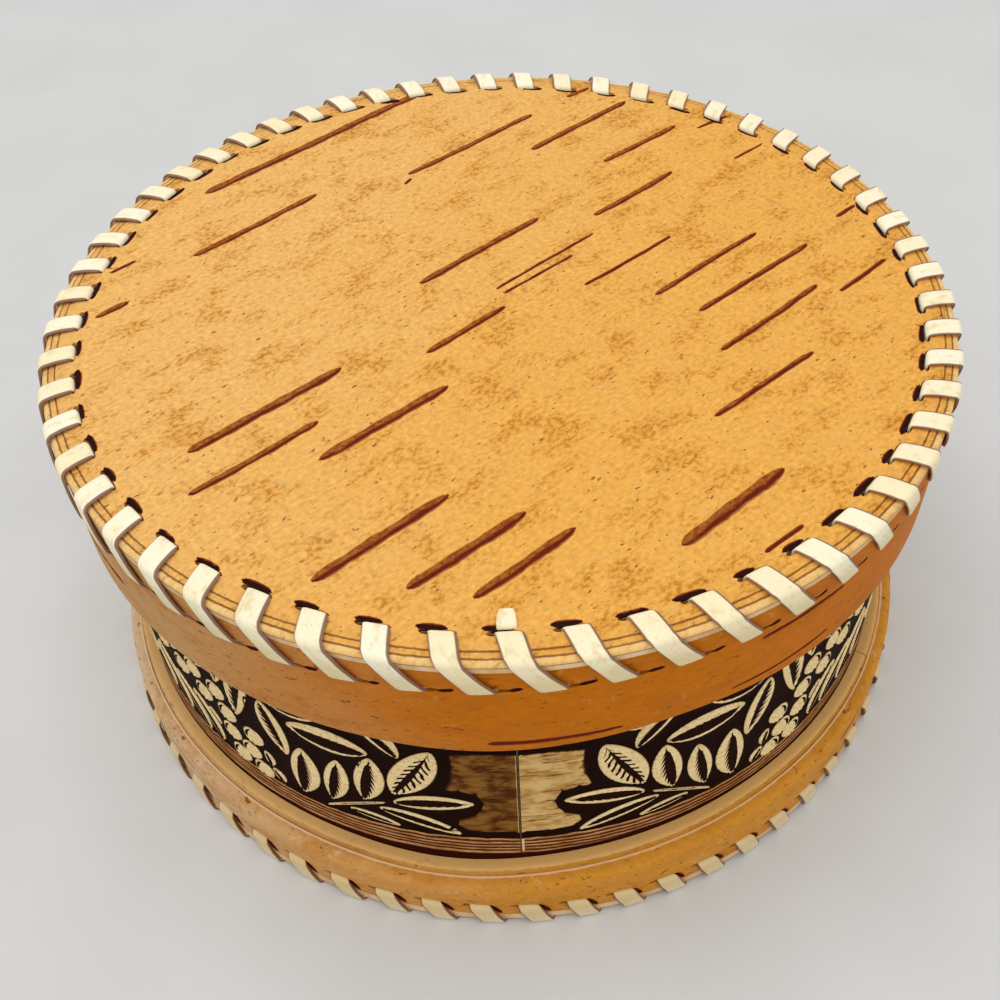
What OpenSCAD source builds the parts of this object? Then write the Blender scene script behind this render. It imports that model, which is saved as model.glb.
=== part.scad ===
// Round birch bark box: a drum wall of three bark layers between a laced base and a laced lid.
// Millimetres, Z up. The origin is the centre of the plane that the box stands on.
// The front, where the two ends of the patterned band meet, faces -Y.

/* [Box] */
// Overall height, from the stitches under the base to the stitches on the lid
box_h = 108; // [88:1:150]
// Outer radius of the patterned wall
wall_r = 105.5; // [90:0.5:130]

/* [Wall layers] */
// Thickness of the patterned outer band
band_t = 1.4; // [1.2:0.1:2.2]
// Thickness of the cross-grain core
core_t = 1.3; // [1.1:0.1:2]
// Thickness of the inner lining
lining_t = 1.8; // [1:0.1:3]
// Gap where the two ends of a hoop of bark meet
seam_gap = 0.3; // [0.1:0.1:0.8]

/* [Lid] */
// Height of the lid, from the top of its disc to the lower edge of its collar
lid_h = 30; // [22:0.5:40]
// Thickness of each of the two layers of the lid's collar
lid_collar_t = 1.9; // [1.2:0.1:2.6]
// How far the lower edge of the collar's inner layer stays above that of the outer one
lid_collar_step = 0.8; // [0:0.1:3]
// Clearance all round between the wall and the lid's collar
lid_fit = 0.7; // [0.4:0.1:1.5]
// Gap between the lid's inner stitches and the rim of the wall
lid_seat = 0.3; // [0.2:0.1:1]

/* [Base] */
// Height of the base, from the underside of its disc to the top of its inner collar
base_h = 19.7; // [14:0.1:30]
// Thickness of each of the two layers of the base's collar
base_collar_t = 3.4; // [2.2:0.05:4]
// How far the collar's inner layer stands above the outer one
base_collar_step = 2; // [0.5:0.1:4]
// Gap between the base's inner stitches and the foot of the wall
wall_seat = 0.25; // [0.2:0.05:1]

/* [Bark discs] */
// Thickness of one sheet of a disc
sheet_t = 1.4; // [1:0.1:2]
// Thickness of one ply that shows at the pared edge of the lid
ply_t = 0.2; // [0.1:0.05:0.25]
// Width of each pared step at the edge of the lid
ply_step = 1.6; // [0.8:0.1:2.2]
// Rounding of the edge of the lid
lid_edge_r = 0.8; // [0.6:0.05:0.95]
// Rounding of the edge of the base
base_edge_r = 0.65; // [0.6:0.05:0.95]
// Rounding of the edges of the collars
collar_edge_r = 1; // [0.5:0.1:1.1]

/* [Lacing] */
// Stitches round the lid
lid_stitches = 56; // [40:1:60]
// Stitches round the base
base_stitches = 58; // [40:1:60]
// Width of the lace, measured along the rim
lace_w = 5.8; // [4:0.1:6.4]
// Thickness of the lace
lace_t = 0.8; // [0.5:0.05:0.9]
// Gap between the lace and the bark that it crosses
lace_gap = 0.15; // [0.1:0.05:0.25]
// Inner radius of the lace's bends at a slit
lace_bend = 0.5; // [0.5:0.05:0.8]
// Inner radius of the lace's bend over the rim
rim_bend = 0.8; // [0.7:0.05:1]
// Distance from the edge of the lid to the slits in its disc
slit_inset = 7.2; // [6.4:0.1:9]
// Distance from the face of the lid to the slits in its collar
lid_slit_drop = 9; // [8:0.1:10]
// Distance from the face of the base to the slits in its collar
base_slit_drop = 7.2; // [6:0.1:9]
// Width of a slit beyond the lace's thickness
slit_slack = 0.6; // [0.5:0.1:0.8]
// Length of a slit beyond the lace's width
slit_spare = 1.8; // [1.2:0.1:2.4]
// Gap between the lace's edge and the nearer end of a slit
slit_end_gap = 0.5; // [0.4:0.05:0.6]
// Share of a stitch's pitch that the lace moves on while it is outside the lid
lid_lean = 0.7; // [0.4:0.05:0.8]
// Share of a stitch's pitch that the lace moves on while it is outside the base
base_lean = 0.5; // [0.4:0.05:0.8]
// How unevenly the stitches are spaced by hand, from none to full
uneven = 1; // [0:0.1:1]
// Length of the lace's end that lies on the disc
tab_l = 3; // [1:0.5:5]

/* [Hidden] */
$fn = 144;

// Colours
bark = [0.80, 0.55, 0.26];
bark_inner = [0.78, 0.60, 0.38];
lace_white = [0.96, 0.92, 0.78];
stained = [0.24, 0.13, 0.07];

// Where the discs and the collars lie. The middle of a stitch on the lid stands a little prouder,
// and the stitches under the base are pressed flat.
lift = lace_t + lace_gap;
lid_crown = 0.2;
base_crown = 0;
lid_top = box_h - lift - lid_crown;
disc_t = 2 * sheet_t;
lid_r = wall_r + lid_fit + 2 * lid_collar_t;
lid_mid_r = lid_r - lid_collar_t;
lid_in_r = wall_r + lid_fit;
base_r = wall_r + 2 * base_collar_t;
base_mid_r = base_r - base_collar_t;
band_in_r = wall_r - band_t;
core_in_r = band_in_r - core_t;
lining_in_r = core_in_r - lining_t;

// Where the wall starts and ends
wall_foot = lift + base_slit_drop + lace_t / 2 + wall_seat;
rim_z = lid_top - lid_slit_drop - lace_t / 2 - lid_seat;
floor_z = lift + disc_t;

// The lace's centreline stands this far off a face, and bends on these radii
off_face = lace_gap + lace_t / 2;
bend_r = lace_bend + lace_t / 2;
over_r = rim_bend + lace_t / 2;
// The lace draws together as it goes through a collar
lace_w_in = lace_w - 0.8;
collar_slit_l = lace_w_in + slit_spare + 2 * slit_end_gap;
disc_slit_l = lace_w + slit_spare;
slit_w = lace_t + slit_slack;
// A slit in a disc runs on backwards past the lace
slit_run_on = slit_spare / 2 - slit_end_gap;
// The loose end comes up beside the first stitch
tab_in = lace_t + 0.5;
tab_w = lace_w - 1.8;
// The slits lie on these circles. Those of the base leave room for the lace round the lining.
lid_slit_r = lid_r - slit_inset;
base_slit_r = core_in_r + off_face + tab_in;
side_crown = 0.2;
eps = 0.01;

// How far the whole base is turned, which brings its stitches round to where they are
base_turn = 67.1;

// The spacing of the stitches drifts round the rim in three slow waves, in degrees
first_stitch = -0.5;
waves = [[1, 3, 80], [2, 1.5, 50], [3, 0.7, 150]];
function drift(u) = uneven * sum([for (w = waves) w[1] * (cos(w[0] * u - w[2]) - cos(w[2]))]);
function sum(v, i = 0) = i < len(v) ? v[i] + sum(v, i + 1) : 0;

// Angle of stitch i of n, from the front and growing towards +X in the lid
function stitch_angle(i, n) = first_stitch + i * 360 / n + drift(i * 360 / n);
// Angle at a share of the way from stitch i to the next
function between(i, n, share) =
    stitch_angle(i, n) + share * (stitch_angle(i + 1, n) - stitch_angle(i, n));

// Sections of one stitch, in the plane through the box's axis, each as
// [share of the pitch, radius, height, direction of travel, width].
// Height 0 is the outer face of the disc, and the collar hangs below it.
// The lace comes up through the disc, over its edge, down, in through the collar and up again.
function bend_in(r_in, r_slit, drop) =
    let (start = [r_in - lace_bend / 2, bend_r - drop],
         way = [r_slit, -disc_t - 0.3] - start)
    atan2(way[1], way[0]) + acos(bend_r / norm(way)) - 90;
function on_bend(centre, r, way) = centre + r * [-sin(way), cos(way)];
function stitch(r_out, r_in, r_slit, drop, a, crown) =
    let (up = [r_slit + bend_r, off_face - bend_r],
         over = [r_out + off_face - over_r, off_face - over_r],
         down = [r_out + off_face - bend_r, bend_r - drop],
         back = [r_in - lace_bend / 2, bend_r - drop],
         last = bend_in(r_in, r_slit, drop))
    [[0, [r_slit, -disc_t - 0.3], (90 + last) / 2, lace_w],
     [0.01, on_bend(up, bend_r, 90), 90, lace_w],
     [0.02, on_bend(up, bend_r, 45), 45, lace_w],
     [0.05, on_bend(up, bend_r, 0), 0, lace_w],
     [0.10, [(up[0] + over[0]) / 2, off_face + crown], 0, lace_w],
     [0.15, on_bend(over, over_r, 0), 0, lace_w],
     [0.19, on_bend(over, over_r, -45), -45, lace_w],
     [0.23, on_bend(over, over_r, -90), -90, lace_w],
     [0.42 / 0.7 * a, [r_out + off_face + side_crown, (over[1] + down[1]) / 2], -90, lace_w],
     [0.61 / 0.7 * a, on_bend(down, bend_r, -90), -90, lace_w - 0.1],
     [a - 0.03, on_bend(down, bend_r, -135), -135, lace_w - 0.5],
     [a - 0.01, on_bend(down, bend_r, 180), 180, lace_w_in],
     [a, on_bend(back, bend_r, 180), 180, lace_w_in],
     [a + 0.03, on_bend(back, bend_r, (180 + last) / 2), (180 + last) / 2, lace_w_in],
     [a + 0.07, on_bend(back, bend_r, last), last, lace_w_in]];

// The lace ends as a tab that comes up inboard of the first stitch and lies flat
function tab(r_in, r_slit, drop) =
    let (r = r_slit - tab_in, turn = [r - bend_r, off_face - bend_r])
    [[0, [r, -disc_t - 0.3], (90 + bend_in(r_in, r_slit, drop)) / 2, tab_w],
     [0, [r, off_face - bend_r], 90, tab_w],
     [0, turn + bend_r * [cos(45), sin(45)], 135, tab_w],
     [0, turn + [0, bend_r], 180, tab_w],
     [0, turn + [-tab_l, bend_r], 180, tab_w - 0.8]];

// The four corners of a section at an angle round the rim
function corners(angle, s) = [for (c = [[-1, -1], [1, -1], [1, 1], [-1, 1]])
    let (p = s[1] + c[1] * lace_t / 2 * [-sin(s[2]), cos(s[2])], side = c[0] * s[3] / 2)
    [p[0] * sin(angle) + side * cos(angle), -p[0] * cos(angle) + side * sin(angle), p[1]]];

// One unbroken ribbon, whipped round the whole rim
module lacing(n, r_out, r_in, r_slit, drop, lean, crown) {
    one = stitch(r_out, r_in, r_slit, drop, lean, crown);
    end = tab(r_in, r_slit, drop);
    rings = concat(
        [for (i = [0:n - 1]) for (s = one)
            corners(between(i, n, s[0]), [s[0], s[1], s[2], s[3]])],
        [for (s = end) corners(stitch_angle(n, n), s)]);
    m = len(rings);
    sides = [for (k = [0:m - 2]) for (j = [0:3])
        let (b = (j + 1) % 4)
        each [[4 * k + j, 4 * k + 4 + b, 4 * k + b], [4 * k + j, 4 * k + 4 + j, 4 * k + 4 + b]]];
    e = 4 * m - 4;
    caps = [[0, 1, 2], [0, 2, 3], [e + 2, e + 1, e], [e + 3, e + 2, e]];
    polyhedron(points = [for (r = rings) each r], faces = concat(caps, sides));
    steps = [for (i = [0:n - 1]) stitch_angle(i + 1, n) - stitch_angle(i, n)];
    echo(stitches = n, least_gap_between_stitches = r_slit * min(steps) * PI / 180 - lace_w,
        gap_at_the_tab = tab_in - lace_t);
}

// Turns what lies along +X to an angle from the front
module at_angle(a) {
    rotate([0, 0, a - 90])
        children();
}

// The slits that the lace goes through, in a disc and in its collar
module disc_slits(n, r_slit) {
    for (i = [0:n - 1])
        at_angle(stitch_angle(i, n))
            translate([r_slit, -slit_run_on, -disc_t / 2])
                cube([slit_w, disc_slit_l, disc_t + 2], center = true);
    at_angle(stitch_angle(0, n))
        translate([r_slit - tab_in / 2, 0, -disc_t / 2])
            cube([slit_w + tab_in, tab_w + slit_slack, disc_t + 2], center = true);
}
module collar_slits(n, r_in, r_out, drop, lean) {
    for (i = [0:n - 1])
        at_angle(between(i, n, lean - 0.005))
            translate([(r_in + r_out) / 2, slit_end_gap, -drop])
                cube([r_out - r_in + 2, collar_slit_l, slit_w], center = true);
}

// What rounding takes off a square corner at the origin, which is nothing for a sharp edge
module corner(r) {
    if (r > 0)
        difference() {
            translate([-eps, -eps])
                square(r + eps);
            translate([r, r])
                circle(r);
        }
}

// A sheet of a disc between two heights, with its upper edge rounded
module sheet(r, low, high, edge) {
    rotate_extrude()
        difference() {
            translate([0, low])
                square([r, high - low]);
            translate([r, high])
                rotate(180)
                    corner(edge);
        }
}

// A hoop of bark between two radii and two heights, with its lower edges rounded
module hoop(r_in, r_out, low, high, edge_out, edge_in) {
    rotate_extrude()
        difference() {
            translate([r_in, low])
                square([r_out - r_in, high - low]);
            translate([r_out, low])
                mirror([1, 0])
                    corner(edge_out);
            translate([r_in, low])
                corner(edge_in);
        }
}

// The cut where the two ends of a hoop meet, at an angle from the front
module seam(angle, r_in, r_out, low, high) {
    at_angle(angle)
        translate([r_in - 1, -seam_gap / 2, low - 1])
            cube([r_out - r_in + 2, seam_gap, high - low + 2]);
}

// The lid and the base are made the same way, face up and face down
module on_lid() {
    translate([0, 0, lid_top])
        children();
}
module on_base() {
    translate([0, 0, lift])
        rotate([180, 0, base_turn])
            children();
}

// The lid's upper sheet, with its edge pared down in steps
module lid_top_sheet() {
    color(bark)
        on_lid()
            difference() {
                union() {
                    sheet(lid_r, -sheet_t, -2 * ply_t, lid_edge_r);
                    sheet(lid_r - ply_step, -2 * ply_t - eps, -ply_t, 0);
                    sheet(lid_r - 2 * ply_step, -ply_t - eps, 0, 0);
                }
                disc_slits(lid_stitches, lid_slit_r);
            }
}

// The sheet under it, with its grain laid across
module lid_backing_disc() {
    color(bark_inner)
        on_lid()
            difference() {
                sheet(lid_r, -disc_t, -sheet_t, 0);
                disc_slits(lid_stitches, lid_slit_r);
            }
}

module lid_collar() {
    color(bark)
        on_lid()
            difference() {
                hoop(lid_mid_r, lid_r, -lid_h, -disc_t, collar_edge_r, 0.3);
                collar_slits(lid_stitches, lid_mid_r, lid_r, lid_slit_drop, lid_lean);
                seam(174.9, lid_mid_r, lid_r, -lid_h, -disc_t);
            }
}

module lid_collar_inner() {
    color(bark_inner)
        on_lid()
            difference() {
                hoop(lid_in_r, lid_mid_r, lid_collar_step - lid_h, -disc_t, 0.3, 0.7);
                collar_slits(lid_stitches, lid_in_r, lid_mid_r, lid_slit_drop, lid_lean);
                seam(62, lid_in_r, lid_mid_r, -lid_h, -disc_t);
            }
}

module lid_lacing() {
    color(lace_white)
        on_lid()
            lacing(lid_stitches, lid_r, lid_in_r, lid_slit_r, lid_slit_drop, lid_lean, lid_crown);
}

module base_sheet() {
    color(bark)
        on_base()
            difference() {
                sheet(base_r, -sheet_t, 0, base_edge_r);
                disc_slits(base_stitches, base_slit_r);
            }
}

// The upper sheet of the base is the floor of the box
module floor_disc() {
    color(bark_inner)
        on_base()
            difference() {
                sheet(base_r, -disc_t, -sheet_t, 0);
                disc_slits(base_stitches, base_slit_r);
            }
}

module base_collar() {
    low = base_collar_step - base_h;
    color(bark)
        on_base()
            difference() {
                hoop(base_mid_r, base_r, low, -disc_t, collar_edge_r, 0.3);
                collar_slits(base_stitches, base_mid_r, base_r, base_slit_drop, base_lean);
                seam(76.3, base_mid_r, base_r, low, -disc_t);
            }
}

module base_collar_inner() {
    color(bark_inner)
        on_base()
            difference() {
                hoop(wall_r, base_mid_r, -base_h, -disc_t, collar_edge_r, 0.4);
                collar_slits(base_stitches, wall_r, base_mid_r, base_slit_drop, base_lean);
                seam(185.9, wall_r, base_mid_r, -base_h, -disc_t);
            }
}

module base_lacing() {
    color(lace_white)
        on_base()
            lacing(base_stitches, base_r, wall_r, base_slit_r, base_slit_drop, base_lean,
                base_crown);
}

// The wall's layers share their rim, and only the lining goes down to the floor
module wall_layer(r_in, r_out, low, seam_angle, edge_out, edge_in) {
    difference() {
        translate([0, 0, rim_z])
            mirror([0, 0, 1])
                hoop(r_in, r_out, 0, rim_z - low, edge_out, edge_in);
        seam(seam_angle, r_in, r_out, low, rim_z);
    }
}

module decorated_band() {
    color(stained)
        wall_layer(band_in_r, wall_r, wall_foot, 0, 0.5, 0);
}

module wall_core() {
    color(bark_inner)
        wall_layer(core_in_r, band_in_r, wall_foot, 100, 0, 0);
}

module inner_wall() {
    color(bark_inner)
        wall_layer(lining_in_r, core_in_r, floor_z, 200, 0, 0.6);
}

lid_top_sheet();
lid_backing_disc();
lid_collar();
lid_collar_inner();
lid_lacing();
base_sheet();
floor_disc();
base_collar();
base_collar_inner();
base_lacing();
decorated_band();
wall_core();
inner_wall();
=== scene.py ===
"""Looks of the birch bark box: pared bark sheets, whipped lacing and a stained band of leaves."""

import math
import random
from typing import NamedTuple

import bpy
from mathutils import Matrix, Vector
from mathutils.geometry import delaunay_2d_cdt


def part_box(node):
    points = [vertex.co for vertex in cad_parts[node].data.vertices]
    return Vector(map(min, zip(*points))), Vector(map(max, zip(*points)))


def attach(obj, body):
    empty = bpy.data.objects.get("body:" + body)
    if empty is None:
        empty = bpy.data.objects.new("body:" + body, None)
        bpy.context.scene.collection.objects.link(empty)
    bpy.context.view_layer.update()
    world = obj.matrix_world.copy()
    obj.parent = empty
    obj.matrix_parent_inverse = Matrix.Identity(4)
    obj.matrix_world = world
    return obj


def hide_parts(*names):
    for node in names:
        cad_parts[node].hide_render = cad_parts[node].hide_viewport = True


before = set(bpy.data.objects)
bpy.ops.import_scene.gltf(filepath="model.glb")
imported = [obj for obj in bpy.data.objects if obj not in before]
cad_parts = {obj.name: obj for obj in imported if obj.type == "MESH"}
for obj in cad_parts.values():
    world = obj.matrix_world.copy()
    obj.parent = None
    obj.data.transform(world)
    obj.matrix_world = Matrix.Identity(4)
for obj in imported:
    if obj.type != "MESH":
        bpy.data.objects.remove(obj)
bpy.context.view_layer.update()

# Sizes are written in millimetres, as a maker would, and a mesh is brought to metres at its end
MM = 0.001
TO_METRES = Matrix.Scale(MM, 4)


def reach(node, axis, end):
    """Lowest (end 0) or highest (end 1) place of a CAD node along an axis, in millimetres."""
    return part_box(node)[end][axis] / MM


# Heights and radii of the pieces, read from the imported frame
LID_TOP = reach("lid_top_sheet", 2, 1)
LID_R = reach("lid_top_sheet", 0, 1)
LID_FOOT = reach("lid_collar", 2, 0)
LID_DISC_FACE = reach("lid_backing_disc", 2, 0)
LID_MID_R = reach("lid_collar_inner", 0, 1)
BASE_R = reach("base_collar", 0, 1)
BASE_COLLAR_FOOT = reach("base_collar", 2, 0)
BASE_COLLAR_TOP = reach("base_collar", 2, 1)
BASE_MID_R = reach("base_collar_inner", 0, 1)
BASE_FACE = reach("base_sheet", 2, 0)
WALL_R = reach("decorated_band", 0, 1)
WALL_FOOT = reach("decorated_band", 2, 0)
WALL_TOP = reach("decorated_band", 2, 1)

# Bark sheets
SHEET_T = 1.4
BAND_T = 1.4
LID_COLLAR_T = LID_R - LID_MID_R
BASE_COLLAR_T = BASE_R - BASE_MID_R
SEAM_GAP = 0.3

# How far the points spread over a sheet stray from their rows, in parts of their spacing
JITTER = 0.3

# Pared steps at the edge of the lid: the radii where each begins and ends, and its seed
PARED_STEPS = ((106.5, 106.9, 1), (108.2, 108.5, 4))

# Heights between which the leaves of the band lie
BORDER_LOW = 29.4
BORDER_HIGH = 77.6

# Kinds of leaves on the band
VEINED, TOOTHED, BERRY, LANCE = range(4)

# Lacing, by the same rule as the solid lace
LID_STITCHES = 56
BASE_STITCHES = 58
LACE_W = 5.8
LACE_W_IN = 5.0
LACE_T = 0.8
LACE_OFF = 0.55
SLIT_BEND = 0.9
RIM_BEND = 1.2
LACE_START = -3.1
TAB_IN = 1.3
TAB_L = 3.0
TAB_W = 4.0
DISC_SLIT = (7.6, 1.4)
DISC_SLIT_SHIFT = -0.4
COLLAR_SLIT = (7.8, 1.4)
COLLAR_SLIT_SHIFT = 0.5
FIRST_STITCH = -0.5
BASE_TURN = 67.1
DRIFT_WAVES = ((1, 3.0, 80), (2, 1.5, 50), (3, 0.7, 150))


class Rim(NamedTuple):
    """A laced rim: its stitches, the radii of its collar's two faces and of the slits in its
    disc, the drop to the slits in its collar, and how far a stitch leans and crowns."""

    count: int
    r_out: float
    r_in: float
    r_slit: float
    drop: float
    lean: float
    crown: float


LID_RIM = Rim(LID_STITCHES, LID_R, LID_MID_R - LID_COLLAR_T, LID_R - 7.2, 9.0, 0.7, 0.2)
BASE_RIM = Rim(BASE_STITCHES, BASE_R, WALL_R, WALL_R - 0.85, 7.2, 0.5, 0.0)

# Direction of the lenticels on the lid
GRAIN_TURN = math.radians(39.5)

# Lenticels of the lid: both ends and the width
LID_LENTICELS = (
    ((-79, 52), (-20, 102), 2.6),
    ((-78, 23), (-48, 49), 2.0),
    ((-23, 57), (13, 86), 1.8),
    ((-24, 52), (-22, 55), 1.0),
    ((12, 67), (41, 91), 2.0),
    ((32, 59), (54, 76), 1.8),
    ((60, 74), (71, 81), 1.0),
    ((68, 57), (77, 64), 0.8),
    ((24, 95), (31, 100), 1.6),
    ((27, 33), (50, 52), 1.8),
    ((-19, 7), (12, 33), 2.0),
    ((0, 3), (26, 25), 0.7),
    ((2, 1), (20, 16), 0.7),
    ((22, 3), (46, 22), 1.0),
    ((39, -2), (68, 22), 1.5),
    ((49, -9), (80, 16), 1.5),
    ((52, -24), (79, -1), 1.5),
    ((84, -4), (98, 8), 1.2),
    ((-17, -20), (2, -4), 1.8),
    ((-69, -50), (-37, -24), 2.4),
    ((-67, -63), (-41, -42), 1.8),
    ((-40, -54), (-12, -32), 2.4),
    ((-39, -88), (-12, -66), 2.4),
    ((-20, -91), (4, -72), 2.4),
    ((-7, -94), (14, -77), 2.2),
    ((47, -46), (73, -26), 1.4),
    ((35, -83), (59, -63), 2.6),
    ((51, -86), (60, -79), 1.0),
    ((-99, -1), (-92, 5), 2.0),
    ((-99, 17), (-93, 22), 1.0),
    ((90, 27), (96, 32), 1.2),
)

# Short marks on the collars: angle and height at both ends, and the width
LID_COLLAR_MARKS = (
    ((27, 94.4), (39, 94.8), 1.2),
    ((-3, 78.6), (11.5, 80.4), 1.1),
    ((24, 80.8), (38, 81.4), 0.9),
    ((-61, 88.0), (-50, 87.2), 1.4),
    ((96, 90.0), (112, 89.4), 1.3),
    ((150, 85.0), (163, 85.6), 1.2),
    ((205, 91.0), (222, 90.5), 1.4),
    ((248, 84.0), (257, 84.3), 1.0),
)
BASE_COLLAR_MARKS = (
    ((49, 13.6), (56, 13.9), 1.0),
    ((92, 12.4), (107, 12.2), 1.2),
    ((182, 13.4), (196, 13.1), 1.1),
    ((236, 12.6), (247, 12.8), 1.0),
    ((300, 13.8), (311, 13.6), 0.9),
)


def add_object(name, data):
    """A new object in the scene."""
    added = bpy.data.objects.new(name, data)
    bpy.context.scene.collection.objects.link(added)
    return added


def set_camera():
    """The photograph's viewing angle: high in front of the box and close to it."""
    elevation = math.radians(45.271)
    pan = math.radians(-0.262)
    tilt = math.radians(-1.964)
    roll = math.radians(-2.885)
    distance = 340.0
    aim_height = 50.0
    back = Vector((0, -math.cos(elevation), math.sin(elevation)))
    right = Vector((1, 0, 0))
    up = right.cross(-back)
    ahead = -back * math.cos(pan) * math.cos(tilt)
    ahead += right * math.sin(pan) * math.cos(tilt) + up * math.sin(tilt)
    ahead.normalize()
    level = ahead.cross(Vector((0, 0, 1))).normalized()
    above = level.cross(ahead)
    x_axis = level * math.cos(roll) + above * math.sin(roll)
    y_axis = above * math.cos(roll) - level * math.sin(roll)
    place = (back * distance + Vector((0, 0, aim_height))) * MM
    data = bpy.data.cameras.new("camera")
    data.sensor_width = 36.0
    data.lens = 43.442
    data.clip_start = 0.01
    camera = add_object("camera", data)
    turned = Matrix((x_axis, y_axis, -ahead)).transposed().to_4x4()
    camera.matrix_world = Matrix.Translation(place) @ turned
    bpy.context.scene.camera = camera


# ---------------------------------------------------------------- node trees


def operator(operation, swapped=False):
    """A method that adds a Math node on its term and on the other one, where there is one."""
    def method(term, *others):
        terms = (*others, term) if swapped else (term, *others)
        return add_node(
            term.tree, "ShaderNodeMath", {"operation": operation}, dict(enumerate(terms))
        )

    return method


class Term:
    """A socket of a node tree. Sums written with terms add the nodes that work them out."""

    def __init__(self, tree, socket):
        self.tree = tree
        self.socket = socket

    __add__ = operator("ADD")
    __radd__ = operator("ADD", True)
    __sub__ = operator("SUBTRACT")
    __rsub__ = operator("SUBTRACT", True)
    __mul__ = operator("MULTIPLY")
    __rmul__ = operator("MULTIPLY", True)
    __truediv__ = operator("DIVIDE")
    __abs__ = operator("ABSOLUTE")
    __lt__ = operator("LESS_THAN")
    __gt__ = operator("GREATER_THAN")
    root = operator("SQRT")
    sine = operator("SINE")
    cosine = operator("COSINE")
    fraction = operator("FRACT")
    largest = operator("MAXIMUM")
    smallest = operator("MINIMUM")

    def __neg__(self):
        return self * -1.0

    def rise(self, low, high):
        """0 below low, 1 above high and smooth between them."""
        return add_node(
            self.tree,
            "ShaderNodeMapRange",
            {"interpolation_type": "SMOOTHSTEP"},
            {"Value": self, "From Min": low, "From Max": high},
        )

    def stretched(self, x, y, z):
        return add_node(
            self.tree, "ShaderNodeVectorMath", {"operation": "MULTIPLY"}, {0: self, 1: (x, y, z)}
        )

    def parts(self):
        """The three numbers of a vector or a colour."""
        return [
            add_node(self.tree, "ShaderNodeSeparateXYZ", {}, {"Vector": self}, output)
            for output in range(3)
        ]

    def noise(self, size, detail=2.0, roughness=0.5):
        """Noise around 0.5, whose blobs are about as large as the sizes along the three axes."""
        return add_node(
            self.tree,
            "ShaderNodeTexNoise",
            {"noise_dimensions": "3D"},
            {
                "Vector": self.stretched(*(1 / s for s in size)),
                "Scale": 1.0,
                "Detail": detail,
                "Roughness": roughness,
            },
        )


def add_node(tree, kind, settings, sockets, output=0):
    """Adds a node, sets it and its sockets, and gives one of its outputs as a term."""
    node = tree.nodes.new(kind)
    for name, value in settings.items():
        setattr(node, name, value)
    for name, value in sockets.items():
        if isinstance(value, Term):
            tree.links.new(value.socket, node.inputs[name])
        else:
            node.inputs[name].default_value = value
    return Term(tree, node.outputs[output]) if len(node.outputs) else node


def blend(factor, one, other):
    """Colour one where the factor is 0 and the other where it is 1."""
    return add_node(
        factor.tree,
        "ShaderNodeMix",
        {"data_type": "RGBA", "clamp_factor": True},
        {0: factor, 6: one, 7: other},
        2,
    )


def shade(colour, factor):
    """A colour made darker or lighter by a factor."""
    return add_node(
        factor.tree, "ShaderNodeVectorMath", {"operation": "SCALE"}, {0: colour, "Scale": factor}
    )


def tint(red, green, blue):
    """A colour as it looks on a screen, from 0 to 255, as the shader's linear colour."""
    def linear(level):
        part = level / 255
        return part / 12.92 if part <= 0.04045 else ((part + 0.055) / 1.055) ** 2.4

    return (linear(red), linear(green), linear(blue), 1.0)


def new_material(name):
    """An empty material, and its tree."""
    material = bpy.data.materials.new(name)
    material.use_nodes = True
    material.node_tree.nodes.clear()
    return material, material.node_tree


def finish_material(tree, colour, roughness, height, relief, specular):
    """Ends a tree in a plain surface, with its fine relief in metres as a bump."""
    normal = add_node(
        tree,
        "ShaderNodeBump",
        {},
        {"Strength": 1.0, "Distance": relief, "Height": height},
    )
    surface = add_node(
        tree,
        "ShaderNodeBsdfPrincipled",
        {},
        {
            "Base Color": colour,
            "Roughness": roughness,
            "Normal": normal,
            "Specular IOR Level": specular,
        },
    )
    add_node(tree, "ShaderNodeOutputMaterial", {}, {"Surface": surface})


def place_in_mm(tree):
    """The place on the object in millimetres."""
    place = add_node(tree, "ShaderNodeTexCoord", {}, {}, 3)
    return place.stretched(1 / MM, 1 / MM, 1 / MM)


def marks(tree, name):
    """The three numbers that a mesh keeps in one of its colour attributes."""
    return add_node(tree, "ShaderNodeAttribute", {"attribute_name": name}, {}, 1).parts()


# ----------------------------------------------------------------- materials


def bark_grain(tree, flat):
    """Place on a sheet of bark, as along, along and across its lenticels, in millimetres.
    On a flat sheet they lie at an angle, and on a hoop they go round it."""
    place = place_in_mm(tree)
    if not flat:
        return place
    turned = add_node(
        tree,
        "ShaderNodeVectorRotate",
        {"rotation_type": "Z_AXIS"},
        {"Vector": place, "Angle": -GRAIN_TURN},
    )
    along, across, _ = turned.parts()
    return add_node(tree, "ShaderNodeCombineXYZ", {}, {0: along, 1: 0.0, 2: across})


class BarkTone(NamedTuple):
    """Colours of a sheet of outer bark: towards the right and the front, towards the left
    and the back, in its darker clouds, and in its cut edges."""

    warm: tuple
    rosy: tuple
    deep: tuple
    cut: tuple


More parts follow.
